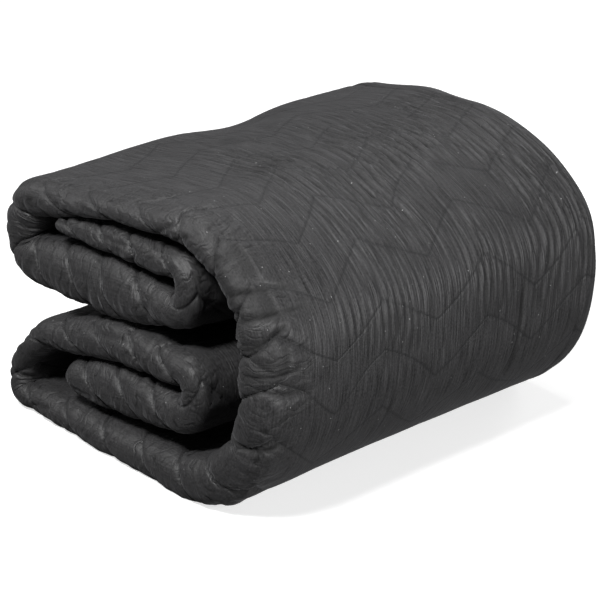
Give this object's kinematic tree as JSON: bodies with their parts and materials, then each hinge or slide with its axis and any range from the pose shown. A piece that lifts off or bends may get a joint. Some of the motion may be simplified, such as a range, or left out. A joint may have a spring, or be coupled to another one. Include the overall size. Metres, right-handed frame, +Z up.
{
  "type": "folded sound dampening blanket",
  "caption": "Quilted sound dampening blanket with zigzag stitching, folded into a thick soft bundle with a rounded closed side and the turns of its layers showing at its near end.",
  "frame": {"origin": "centre of the bounding box at the height of the underside", "axes": "+Z up from the floor, +Y along the folds away from the end where the turns show, +X towards the rounded closed side"},
  "size_m": [0.432, 0.457, 0.2987],
  "materials": {
    "quilted_fabric": "charcoal crinkled microfibre with a soft sheen, quilted"
  },
  "bodies": {
    "root": {"quilted_blanket": "quilted_fabric"}
  },
  "joints": []
}
